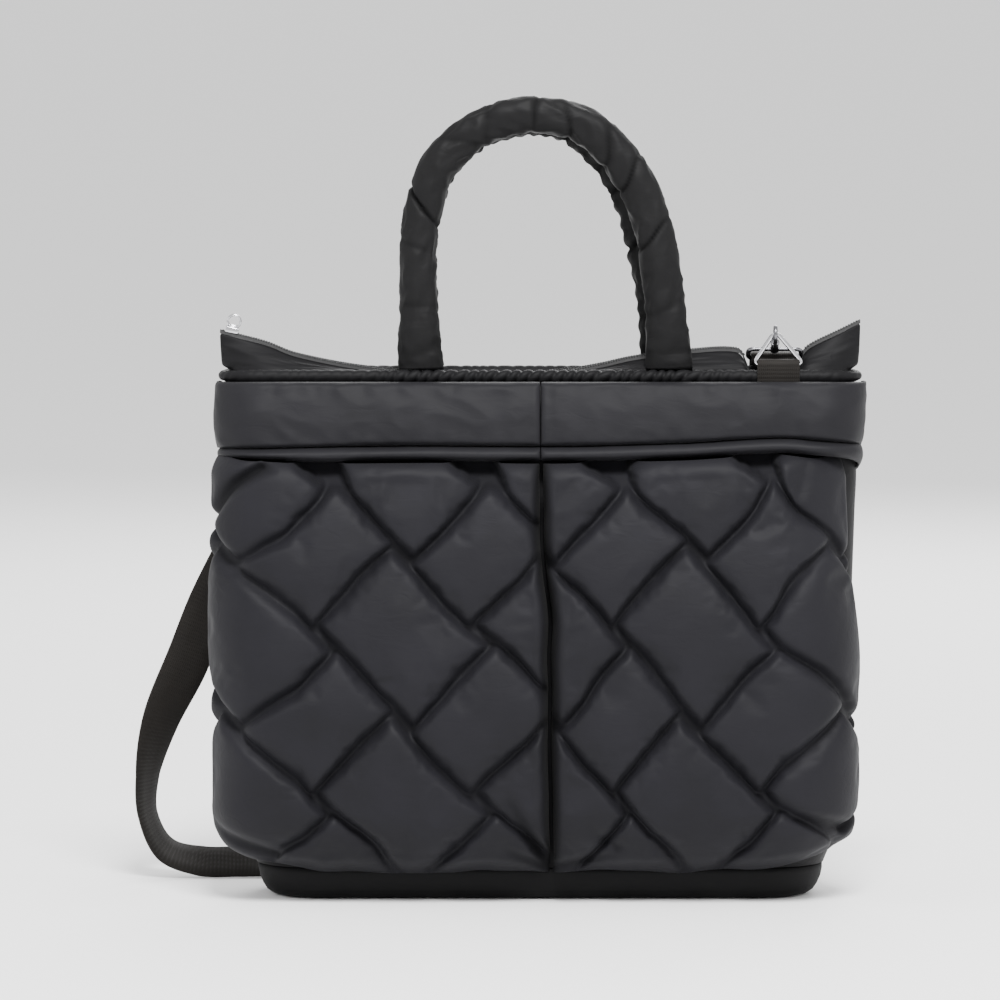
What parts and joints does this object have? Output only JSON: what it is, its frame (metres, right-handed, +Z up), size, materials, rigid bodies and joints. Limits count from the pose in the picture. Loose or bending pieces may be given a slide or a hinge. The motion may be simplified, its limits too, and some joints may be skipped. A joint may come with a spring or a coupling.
{
  "type": "padded tote bag",
  "caption": "Dark padded nylon tote bag with woven front pockets, tube handles, an open zip top and a clip-on webbing shoulder strap.",
  "frame": {"origin": "centre of the flat underside of the base", "axes": "+Z up, +X to the right seen from the front, +Y from the front to the back"},
  "size_m": [0.4915, 0.1761, 0.5325],
  "materials": {
    "body_nylon": "matte padded nylon",
    "band_nylon": "smooth padded nylon",
    "woven_nylon": "smooth puffed nylon",
    "handle_nylon": "padded nylon with puckers",
    "base_nylon": "matte nylon",
    "webbing": "ribbed webbing",
    "zip_teeth": "satin coil",
    "bright_steel": "polished",
    "dark_steel": "satin"
  },
  "bodies": {
    "root": {"body_front": "body_nylon", "body_back": "body_nylon", "base_tray": "base_nylon", "rim_binding_front": "body_nylon", "rim_binding_back": "body_nylon", "top_gusset_front": "body_nylon", "top_gusset_back": "body_nylon", "zip_tape_front": "zip_teeth", "zip_tape_back": "zip_teeth", "zip_slider": "bright_steel", "handle_front": "handle_nylon", "handle_rear": "handle_nylon", "pocket_left": "woven_nylon", "pocket_right": "woven_nylon", "pocket_band_left": "band_nylon", "pocket_band_right": "band_nylon", "pocket_hem_left": "band_nylon", "pocket_hem_right": "band_nylon", "ring_tab_left": "webbing", "ring_tab_right": "webbing", "strap_ring_left": "bright_steel", "strap_ring_right": "bright_steel", "strap_hook_left": "dark_steel", "strap_hook_right": "dark_steel", "shoulder_strap": "webbing"}
  },
  "joints": []
}
